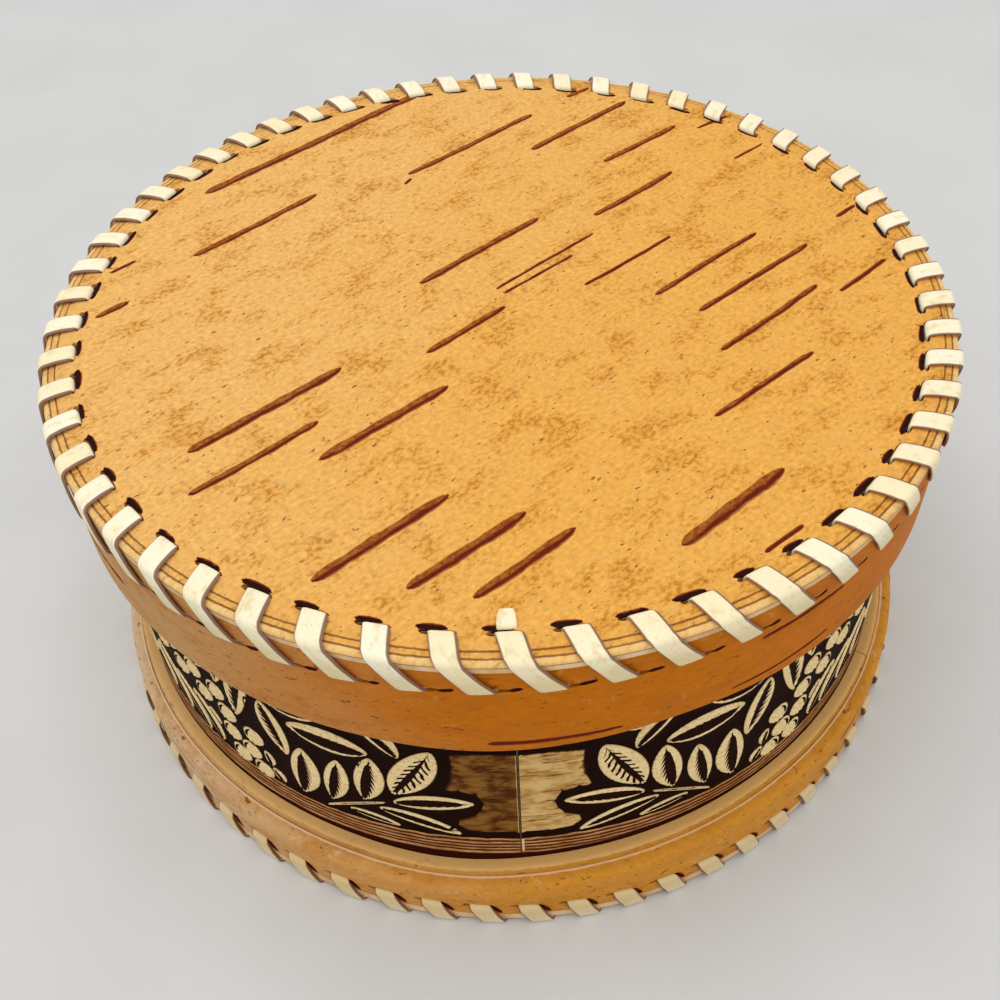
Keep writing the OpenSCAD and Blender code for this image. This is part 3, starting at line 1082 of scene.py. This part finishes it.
def make_base_collar():
    """The two plies of the base collar, the inner one a step higher, with a pale crest, and a dark
    red mark of painted shadow beside each stitch on the outer ply.
    """
    slits = [180 - angle + BASE_TURN for angle in collar_slit_angles(BASE_RIM)]
    height = BASE_FACE + BASE_RIM.drop
    waves = (even, base_top_wave)
    marks = list(BASE_COLLAR_MARKS)
    # Dark red marks of painted shadow, cast by the lace, along the right side of each stitch
    for slit in slits:
        start = slit + math.degrees(3.1 / BASE_R)
        end = start + math.degrees(2.9 / BASE_R)
        marks.append(((start, height + 0.2), (end, BASE_COLLAR_FOOT + 0.5), 1.8, 1.25))
    tone = BarkTone(
        tint(212, 143, 48), tint(215, 181, 140), tint(190, 120, 36), tint(242, 212, 166)
    )
    material = outer_bark("base_collar_bark", False, tone, 0.35, 90.0, BASE_COLLAR_FOOT, ())
    hoop = Hoop(
        BASE_R, BASE_COLLAR_FOOT, BASE_COLLAR_TOP, BASE_COLLAR_T, 170.8, (0.25, 2.4), (0.0, 0.15),
        slits, height, waves,
    )
    make_hoop("base_collar_bark", "base_collar", "box", "bark_outer", hoop, marks, material)

    tone = BarkTone(
        tint(198, 134, 46), tint(204, 164, 112), tint(172, 106, 34), tint(228, 182, 114)
    )
    material = outer_bark("base_ply_bark", False, tone, 0.30, 60.0, BASE_COLLAR_FOOT, ())
    foot, top = (reach("base_collar_inner", 2, end) for end in (0, 1))
    hoop = Hoop(
        BASE_MID_R, foot, top, BASE_MID_R - WALL_R, 61.2, (0.25, 1.5), (0.0, 0.8), slits, height,
        waves,
    )
    make_hoop("base_ply_bark", "base_collar_inner", "box", "bark_inner", hoop, [], material)


# ------------------------------------------------------------------ leaf band

BAND_L = 2 * math.pi * WALL_R
REPEATS = 6
PITCH = BAND_L / REPEATS


class Leaf(NamedTuple):
    """A leaf of the band, in millimetres along it and up it: its base and tip, its width, how
    far it bows to its left, its kind, the fullness of its outline and its rows of points."""

    base: tuple
    tip: tuple
    width: float
    bend: float
    kind: int
    fullness: float = 0.75
    rows: int = 11


BERRIES = (
    (66.6, 46.4), (69.0, 38.4), (66.4, 31.9), (73.6, 33.0), (74.9, 41.4), (74.6, 49.6),
    (76.6, 57.2), (82.4, 51.4), (84.4, 59.2), (90.4, 55.0), (92.6, 62.8), (81.0, 66.8),
    (88.6, 69.4), (98.6, 57.6), (101.0, 65.2), (96.8, 71.6),
)

# The leaves and berries to the right of a meeting. The narrow one before the berries is the
# stem that the lower leaves grow from.
HALF_GARLAND = (
    Leaf((29.0, 45.9), (18.8, 66.2), 9.6, 0.4, VEINED, 0.70, 14),
    Leaf((36.6, 39.6), (33.4, 59.2), 7.6, 0.5, TOOTHED),
    Leaf((45.6, 34.6), (42.0, 54.0), 6.6, 0.4, TOOTHED),
    Leaf((53.8, 32.0), (51.4, 53.2), 8.2, 0.6, TOOTHED),
    Leaf((29.4, 41.9), (10.2, 45.4), 6.2, -0.5, LANCE),
    Leaf((33.2, 37.7), (13.9, 31.0), 4.8, -0.9, LANCE),
    Leaf((41.2, 33.3), (28.6, 31.0), 2.6, -0.3, LANCE, 0.75, 8),
    Leaf((33.4, 61.0), (53.6, 62.4), 9.0, -0.3, LANCE),
    Leaf((42.0, 72.6), (60.6, 69.8), 7.6, -1.6, LANCE),
    Leaf((26.2, 62.2), (36.2, 75.0), 5.6, 0.8, TOOTHED),
    Leaf((60.4, 66.8), (56.0, 47.2), 7.0, 0.6, TOOTHED),
    Leaf((63.6, 76.0), (70.2, 52.8), 6.8, 1.2, TOOTHED),
    Leaf((71.6, 75.6), (74.6, 62.4), 4.6, 0.5, TOOTHED, 0.75, 8),
    Leaf((17.4, 75.8), (27.6, 69.6), 4.4, 0.3, TOOTHED, 0.75, 8),
    Leaf((44.6, 76.4), (59.6, 75.6), 2.8, 0.3, LANCE, 0.75, 8),
    Leaf((62.6, 36.8), (63.6, 42.6), 3.0, 0.3, TOOTHED, 0.6, 6),
    Leaf((60.0, 31.0), (62.6, 35.8), 3.2, 0.3, TOOTHED, 0.6, 6),
    Leaf((47.6, 30.6), (31.4, 40.6), 0.7, -0.5, BERRY, 0.4, 9),
    *(Leaf((s + 0.8, z - 3.3), (s - 0.8, z + 3.3), 6.4, 0.0, BERRY, 0.5, 8) for s, z in BERRIES),
    Leaf((80.6, 31.4), (88.6, 46.4), 4.8, 0.9, LANCE),
    Leaf((86.2, 30.8), (96.4, 46.6), 5.2, 0.9, LANCE),
    Leaf((94.6, 31.2), (104.6, 50.2), 6.0, 0.8, LANCE),
    Leaf((103.6, 31.0), (108.2, 45.4), 4.6, 0.4, TOOTHED, 0.75, 9),
    Leaf((106.2, 74.6), (107.6, 54.2), 4.4, 0.5, TOOTHED, 0.75, 9),
    Leaf((79.4, 39.6), (82.6, 44.6), 2.2, 0.2, TOOTHED, 0.6, 6),
)

# Rim of the plain field to the right of a meeting, and a place in its middle
PLAIN_FIELD = (
    (0.3, 32.4), (1.2, 32.4), (7.0, 32.2), (12.4, 32.9), (14.6, 35.2), (14.0, 37.8),
    (10.2, 40.2), (8.8, 42.6), (8.0, 46.0), (9.6, 49.6), (13.4, 51.0), (16.6, 51.2),
    (15.2, 55.6), (14.6, 61.0), (14.8, 66.0), (9.0, 66.9), (1.2, 66.6), (0.3, 66.6),
)
FIELD_MIDDLE = (7.4, 50.0)


def band_place(s, z, repeat):
    """A place of half a garland in one of its repeats round the band, every other mirrored."""
    if repeat % 2:
        return ((repeat + 1) * PITCH - s, z)
    return (repeat * PITCH + s, z)


def key(place):
    """A place of the band as a name that doesn't change with rounding."""
    return (round(place[0], 3), round(place[1], 3))


def leaf_points(leaf, repeat):
    """Outline of a leaf, the points inside it, and the place along and across the leaf of
    each of these."""
    base, tip = Vector(leaf.base), Vector(leaf.tip)
    way = tip - base
    left = Vector((-way.y, way.x)).normalized()
    table, outline_left, outline_right, inside = {}, [], [], []
    for k in range(leaf.rows + 1):
        t = 0.5 - 0.5 * math.cos(math.pi * k / leaf.rows)
        centre = base + way * t + left * (leaf.bend * 4 * t * (1 - t))
        half = leaf.width / 2 * (4 * t * (1 - t)) ** leaf.fullness
        half *= 1.0 + 0.12 * (0.5 - t)
        if k in (0, leaf.rows):
            place = band_place(centre.x, centre.y, repeat)
            table[key(place)] = (t, 0.0)
            outline_left.append(place)
            continue
        for w in (-1.0, -0.8, -0.4, 0.0, 0.4, 0.8, 1.0):
            spot = centre + left * (half * w)
            place = band_place(spot.x, spot.y, repeat)
            table[key(place)] = (t, w)
            row = {-1.0: outline_right, 1.0: outline_left}.get(w, inside)
            row.append(place)
    loop = outline_right + outline_left[::-1]
    return loop[::-1] if repeat % 2 else loop, inside, table


def make_band():
    """The stained outer band. Half a garland is laid six times round it, every other one
    mirrored, so that two halves face each other across a plain field at the front seam."""
    chance = random.Random(5)
    low, high = WALL_FOOT, WALL_TOP
    ends = (SEAM_GAP / 2, BAND_L - SEAM_GAP / 2)
    leaves, tables, kinds, inner_points, fields, rim_keys = [], [], [], [], [], set()
    for repeat in range(REPEATS):
        for leaf in HALF_GARLAND:
            loop, inside, table = leaf_points(leaf, repeat)
            leaves.append(loop)
            tables.append(table)
            kinds.append(leaf.kind)
            inner_points += inside
    for repeat in range(REPEATS):
        rim = [band_place(s, z, repeat) for s, z in PLAIN_FIELD]
        fields.append(rim[::-1] if repeat % 2 else rim)
        # The side at the meeting isn't a rim
        rim_keys |= {key(place) for place, (s, _) in zip(rim, PLAIN_FIELD) if s > 0.5}
        for s, z in PLAIN_FIELD:
            spot = (between(s, FIELD_MIDDLE[0], 0.16), between(z, FIELD_MIDDLE[1], 0.06))
            inner_points.append(band_place(*spot, repeat))
    fills = leaves + fields

    levels = [low, low + 4, 20.4, 21.6, 22.6, high - 8, high - 4, high - 0.5, high - 0.12, high]
    rows = level_rows(ends, levels, 210)
    sides = levels[1:-1] + [26, BORDER_LOW, 36, 42, 48, 54, 60, 66, 72, BORDER_HIGH, 83]
    outline = sheet_outline(rows, ends, sides)
    steps = [row[1:-1] for row in rows[1:-1]]
    fixed = [p for loop in [outline, *fills, *steps, inner_points] for p in loop]
    ground = thinned(spread((ends[0], low), (ends[1], high), 3.2, chance), fixed, 1.0)
    ground = [place for place in ground if not any(surrounds(loop, place) for loop in leaves)]
    places, triangles, fill_of = split_sheet(outline, [], fills, steps, inner_points + ground)

    in_leaf = {}
    for table in tables:
        in_leaf.update(table)
    field_points = set()
    for triangle, fill in zip(triangles, fill_of):
        if fill >= len(leaves):
            field_points |= {key(places[k]) for k in triangle}

    def depth_at(u, v):
        spot = key((u, v))
        if spot in in_leaf:
            across = abs(in_leaf[spot][1])
            return 0.02 + 0.30 * (1 - rise(across, 0.0, 0.45)) + 0.42 * rise(across, 0.72, 1.0)
        if spot in rim_keys:
            return 0.40
        if spot in field_points:
            return 0.12
        if high - v <= 0.5:
            return rounded(max(0.0, high - v), 0.5)
        return 0.50 if BORDER_LOW <= v <= BORDER_HIGH else 0.10

    def put(u, v, depth):
        turn, r = u / WALL_R, WALL_R - depth
        return Vector((r * math.sin(turn), -r * math.cos(turn), v))

    mesh = thick_sheet("leaf_band", places, triangles, put, depth_at, BAND_T)
    motif = mesh.uv_layers.new(name="motif")
    for polygon in mesh.polygons:
        fill = fill_of[polygon.index] if polygon.index < len(triangles) else -1
        for corner in polygon.loop_indices:
            vertex = mesh.loops[corner].vertex_index
            if fill < 0 or vertex >= len(places):
                code = (0.0, 3.0)
            elif fill >= len(leaves):
                code = (0.0, 4.0 if key(places[vertex]) in rim_keys else 5.0)
            else:
                along, across = tables[fill].get(key(places[vertex]), (0.5, 1.0))
                code = (2 * kinds[fill] + 0.02 + 0.96 * along, across)
            motif.data[corner].uv = code
    add_piece("leaf_band", mesh, stained_leaves(), "box", "stained_band", "decorated_band")


# -------------------------------------------------------------------- lacing


def bend_sections(centre, radius, ways, shares, widths, steps, shears=(0.0, 0.0)):
    """Sections of the lace round a bend, as (share, radius, height, way, width, shear)."""
    found = []
    for k in range(steps + 1):
        part = k / steps
        way = math.radians(between(*ways, part))
        found.append(
            (
                between(*shares, part),
                centre[0] - radius * math.sin(way),
                centre[1] + radius * math.cos(way),
                way,
                between(*widths, part),
                between(*shears, part),
            )
        )
    return found


def stitch_sections(rim):
    """One stitch: up through the disc, over its edge, down, in through the collar and up again."""
    up = (rim.r_slit + SLIT_BEND, LACE_OFF - SLIT_BEND)
    over = (rim.r_out + LACE_OFF - RIM_BEND, LACE_OFF - RIM_BEND)
    down = (rim.r_out + LACE_OFF - SLIT_BEND, SLIT_BEND - rim.drop)
    back = (rim.r_in - 0.25, SLIT_BEND - rim.drop)
    goal = (rim.r_slit - back[0], LACE_START - back[1])
    aim = math.atan2(goal[1], goal[0]) + math.acos(SLIT_BEND / math.hypot(*goal))
    last = math.degrees(aim) - 90
    full, thin = LACE_W, LACE_W_IN
    low_share = 0.61 / 0.7 * rim.lean
    path = [(0.0, rim.r_slit, LACE_START, math.radians((90 + last) / 2), full, 0.0)]
    path += bend_sections(up, SLIT_BEND, (90, 0), (0.01, 0.05), (full - 0.7, full), 4)
    for k in range(1, 6):
        part = k / 6
        top = (between(up[0], over[0], part), LACE_OFF + rim.crown * math.sin(math.pi * part))
        path.append((between(0.05, 0.15, part), *top, 0.0, full, 0.0))
    path += bend_sections(over, RIM_BEND, (0, -90), (0.15, 0.23), (full, full), 6)
    for k in range(1, 6):
        part = k / 6
        bulge = 0.2 * math.sin(math.pi * part)
        side = (rim.r_out + LACE_OFF + bulge, between(over[1], down[1], part))
        share = between(0.23, low_share, part)
        path.append((share, *side, math.radians(-90), full - 0.1 * part, 0.12 * rise(part, 0.4, 1)))
    shares = (low_share, rim.lean - 0.01)
    path += bend_sections(down, SLIT_BEND, (-90, -180), shares, (full - 0.1, thin), 5, (0.12, 0.0))
    shares = (rim.lean, rim.lean + 0.07)
    path += bend_sections(back, SLIT_BEND, (180, last), shares, (thin, thin), 3)
    path.append((1.0, rim.r_slit, LACE_START, math.radians((90 + last) / 2), full, 0.0))
    return path


def tab_sections(rim):
    """The lace's end, which comes up beside the first stitch and lies flat, pointing inwards."""
    r = rim.r_slit - TAB_IN
    turn = (r - SLIT_BEND, LACE_OFF - SLIT_BEND)
    path = [(0.0, r, LACE_START, math.radians(90), TAB_W, 0.0)]
    for k in range(5):
        way = math.radians(between(90, 180, k / 4))
        place = (turn[0] + SLIT_BEND * math.sin(way), turn[1] - SLIT_BEND * math.cos(way))
        path.append((0.0, *place, way, TAB_W, 0.0))
    path.append((0.0, turn[0] - TAB_L * 0.6, turn[1] + SLIT_BEND, math.pi, TAB_W - 0.3, 0.0))
    path.append((0.0, turn[0] - TAB_L, turn[1] + SLIT_BEND, math.pi, TAB_W - 1.2, 0.0))
    return path


def lace_mesh(name, sections, closed_ends):
    """A flat lace with soft corners through the sections. A point's X is its share of the
    pitch, Y its radius and Z its height. Its place across the lace is kept as an attribute."""
    corners = (
        (-0.5, 0.0), (-0.47, 0.36), (-0.36, 0.5), (-0.12, 0.5), (0.12, 0.5), (0.36, 0.5),
        (0.47, 0.36), (0.5, 0.0), (0.47, -0.36), (0.36, -0.5), (-0.36, -0.5), (-0.47, -0.36),
    )
    places, sides, alongs, faces = [], [], [], []
    along = 0.0
    before = None
    for share, r, z, way, width, shear in sections:
        if before:
            along += math.hypot(r - before[0], z - before[1])
        before = (r, z)
        for across, up in corners:
            side = across * width
            lift = up * LACE_T * (0.90 + 0.10 * (1 - (2 * across) ** 2))
            height = z + lift * math.cos(way) + shear * side
            places.append((share, r - lift * math.sin(way), height))
            sides.append(side)
            alongs.append(along)
    count = len(corners)
    for row in range(len(sections) - 1):
        for k in range(count):
            a, b = row * count + k, row * count + (k + 1) % count
            faces.append((a, a + count, b + count, b))
    if closed_ends:
        faces.append(tuple(range(count)))
        faces.append(tuple(range(len(places) - count, len(places)))[::-1])
    mesh = bpy.data.meshes.new(name)
    mesh.from_pydata(places, [], faces)
    keep_numbers(mesh, {"side": sides, "along": alongs})
    return mesh


def lacing_tree():
    """Copies one stitch to every place round the rim, wraps each copy round the box
    and joins them into one lace."""
    tree = bpy.data.node_groups.new("lacing", "GeometryNodeTree")
    inputs = {
        "Rim places": "Geometry", "Stitch": "Object", "Width wobble": "Float",
        "Sideways wobble": "Float", "Seed": "Int", "Lace": "Material",
    }
    for name, kind in inputs.items():
        tree.interface.new_socket(name, in_out="INPUT", socket_type="NodeSocket" + kind)
    tree.interface.new_socket("Lacing", in_out="OUTPUT", socket_type="NodeSocketGeometry")
    given = tree.nodes.new("NodeGroupInput")
    terms = [Term(tree, given.outputs[name]) for name in inputs]
    rim, stitch, wide, sideways, seed, lace = terms

    def random_value(low, high, offset):
        return add_node(
            tree,
            "FunctionNodeRandomValue",
            {"data_type": "FLOAT"},
            {2: low, 3: high, "Seed": seed + offset},
            1,
        )

    def stored(geometry, name, value):
        return add_node(
            tree,
            "GeometryNodeStoreNamedAttribute",
            {"data_type": "FLOAT", "domain": "POINT"},
            {"Geometry": geometry, "Name": name, "Value": value},
        )

    def named(name):
        return add_node(
            tree, "GeometryNodeInputNamedAttribute", {"data_type": "FLOAT"}, {"Name": name}
        )

    rim = stored(rim, "tone", random_value(0.0, 1.0, 0))
    rim = stored(rim, "breadth", 1.0 + wide * random_value(-1.0, 1.0, 1))
    rim = stored(rim, "slip", sideways * random_value(-1.0, 1.0, 2))
    shape = add_node(tree, "GeometryNodeObjectInfo", {}, {"Object": stitch}, 4)
    copies = add_node(tree, "GeometryNodeInstanceOnPoints", {}, {"Points": rim, "Instance": shape})
    real = add_node(tree, "GeometryNodeRealizeInstances", {}, {"Geometry": copies})

    share, radius, height = add_node(tree, "GeometryNodeInputPosition", {}, {}).parts()
    loose = (share * (1 - share) * 4.0).smallest(1.0)
    angle = named("start") + named("step") * share
    side = named("side") * (1.0 + (named("breadth") - 1.0) * loose) + named("slip") * loose
    sine, cosine = angle.sine(), angle.cosine()
    x = radius * sine + side * cosine
    y = side * sine - radius * cosine
    place = add_node(tree, "ShaderNodeCombineXYZ", {}, {0: x, 1: y, 2: height})
    wrapped = add_node(
        tree, "GeometryNodeSetPosition", {}, {"Geometry": real, "Position": place}
    )
    joined = add_node(
        tree, "GeometryNodeMergeByDistance", {}, {"Geometry": wrapped, "Distance": 0.002}
    )
    smooth = add_node(tree, "GeometryNodeSetShadeSmooth", {}, {"Geometry": joined})
    real = add_node(tree, "GeometryNodeRealizeInstances", {}, {"Geometry": smooth})
    dressed = add_node(tree, "GeometryNodeSetMaterial", {}, {"Geometry": real, "Material": lace})
    result = tree.nodes.new("NodeGroupOutput")
    tree.links.new(dressed.socket, result.inputs[0])
    return tree


def make_lacing(name, node, body, rim, seed, tree, lace, to_box):
    """The lace round one rim, as one mesh with its end tab."""
    one = lace_mesh(name + "_stitch", stitch_sections(rim), False)
    stitch = bpy.data.objects.new(name + "_stitch", one)
    count = rim.count
    places = bpy.data.meshes.new(name)
    places.from_pydata([(0, 0, 0)] * count, [], [])
    starts = [math.radians(stitch_angle(k, count)) for k in range(count)]
    steps = [math.radians(stitch_angle(k + 1, count)) - starts[k] for k in range(count)]
    keep_numbers(places, {"start": starts, "step": steps})
    source = add_object(name + "_source", places)
    modifier = source.modifiers.new("lacing", "NODES")
    modifier.node_group = tree
    inputs = {
        "Stitch": stitch, "Width wobble": 0.05, "Sideways wobble": 0.12, "Seed": seed, "Lace": lace,
    }
    for item in tree.interface.items_tree:
        if item.name in inputs:
            modifier[item.identifier] = inputs[item.name]
    graph = bpy.context.evaluated_depsgraph_get()
    mesh = bpy.data.meshes.new_from_object(
        source.evaluated_get(graph), preserve_all_data_layers=True, depsgraph=graph
    )
    bpy.data.objects.remove(source)
    bpy.data.objects.remove(stitch)

    tab = lace_mesh(name + "_tab", tab_sections(rim), True)
    turn = math.radians(stitch_angle(0, count))
    for vertex, side in zip(tab.vertices, tab.attributes["side"].data):
        r, z = vertex.co.y, vertex.co.z
        vertex.co = (
            r * math.sin(turn) + side.value * math.cos(turn),
            side.value * math.sin(turn) - r * math.cos(turn),
            z,
        )
    mesh = joined_meshes(name, mesh, tab)
    mesh.transform(TO_METRES @ to_box)
    mesh.shade_smooth()
    mesh.set_sharp_from_angle(angle=math.radians(60))
    add_piece(name, mesh, lace, body, "lace", node)


def joined_meshes(name, *meshes):
    """Several meshes as one, with their lace attributes."""
    places, faces = [], []
    values = {"side": [], "along": [], "tone": []}
    for mesh in meshes:
        start = len(places)
        places += [v.co.copy() for v in mesh.vertices]
        faces += [tuple(start + k for k in face.vertices) for face in mesh.polygons]
        for label, kept in values.items():
            layer = mesh.attributes.get(label)
            kept += [item.value for item in layer.data] if layer else [0.5] * len(mesh.vertices)
    whole = bpy.data.meshes.new(name)
    whole.from_pydata(places, [], faces)
    keep_numbers(whole, values)
    return whole


def make_lacings():
    tree = lacing_tree()
    lace = cream_lace()
    lid_face = Matrix.Translation((0, 0, LID_TOP))
    over = Matrix.Rotation(math.radians(BASE_TURN), 4, "Z") @ Matrix.Rotation(math.pi, 4, "X")
    base_face = Matrix.Translation((0, 0, BASE_FACE)) @ over
    make_lacing("lid_lace", "lid_lacing", "lid", LID_RIM, 3, tree, lace, lid_face)
    make_lacing("base_lace", "base_lacing", "box", BASE_RIM, 8, tree, lace, base_face)


# ----------------------------------------------------- CAD nodes that are kept


def dress_node(node, material):
    """Gives a kept CAD node its material."""
    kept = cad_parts[node]
    kept.data.materials.clear()
    kept.data.materials.append(material)


def dress_inner_pieces():
    pale, warm = tint(236, 202, 156), tint(218, 172, 118)
    hoop = inner_bark("inner_hoop_bark", False, pale, warm)
    disc = inner_bark("inner_disc_bark", True, pale, warm)
    dress_node("lid_backing_disc", disc)
    dress_node("floor_disc", disc)
    dress_node("base_sheet", disc)
    dress_node("lid_collar_inner", hoop)
    dress_node("wall_core", hoop)
    dress_node("inner_wall", hoop)


# --------------------------------------------------------------------- studio


def add_lamp(name, place, size, power, aim=(0, 0, 0.05)):
    data = bpy.data.lights.new(name, "AREA")
    data.shape = "DISK"
    data.size = size
    data.energy = power
    lamp = add_object(name, data)
    way = Vector(aim) - Vector(place)
    turned = way.to_track_quat("-Z", "Y").to_matrix().to_4x4()
    lamp.matrix_world = Matrix.Translation(place) @ turned


def make_studio():
    """A pale floor and soft light: a large lamp above and behind, and an even sky."""
    world = bpy.data.worlds.new("studio")
    bpy.context.scene.world = world
    world.use_nodes = True
    tree = world.node_tree
    tree.nodes.clear()
    ray = [add_node(tree, "ShaderNodeLightPath", {}, {}, output) for output in (0, 3, 6)]
    seen = ray[0].largest(ray[1]).largest(ray[2])
    sky, white = (
        add_node(tree, "ShaderNodeBackground", {}, {"Color": (1, 1, 1, 1), "Strength": strength})
        for strength in (0.68, 1.0)
    )
    shown = add_node(tree, "ShaderNodeMixShader", {}, {0: seen, 1: sky, 2: white})
    add_node(tree, "ShaderNodeOutputWorld", {}, {"Surface": shown})

    add_lamp("high_lamp", (-0.15, -0.05, 1.10), 0.9, 4.2)
    add_lamp("front_lamp", (0.55, -0.85, 0.55), 0.6, 0.8)

    half = 3.0
    mesh = bpy.data.meshes.new("floor")
    corners = [(-half, -half, 0), (half, -half, 0), (half, half, 0), (-half, half, 0)]
    mesh.from_pydata(corners, [], [(0, 1, 2, 3)])
    floor = add_object("floor", mesh)
    material, floor_tree = new_material("pale_floor")
    place = place_in_mm(floor_tree)
    cloud = place.noise((60, 60, 60), 3.0)
    colour = blend(cloud.rise(0.3, 0.7), tint(216, 216, 214), tint(221, 221, 220))
    finish_material(floor_tree, colour, 0.7 + (cloud - 0.5) * 0.1, cloud, 0.05 * MM, 0.2)
    mesh.materials.append(material)


def main():
    set_camera()
    bpy.context.scene.view_settings.view_transform = "Standard"
    make_lid_top()
    make_lid_collar()
    make_base_collar()
    make_band()
    make_lacings()
    dress_inner_pieces()
    make_studio()


main()
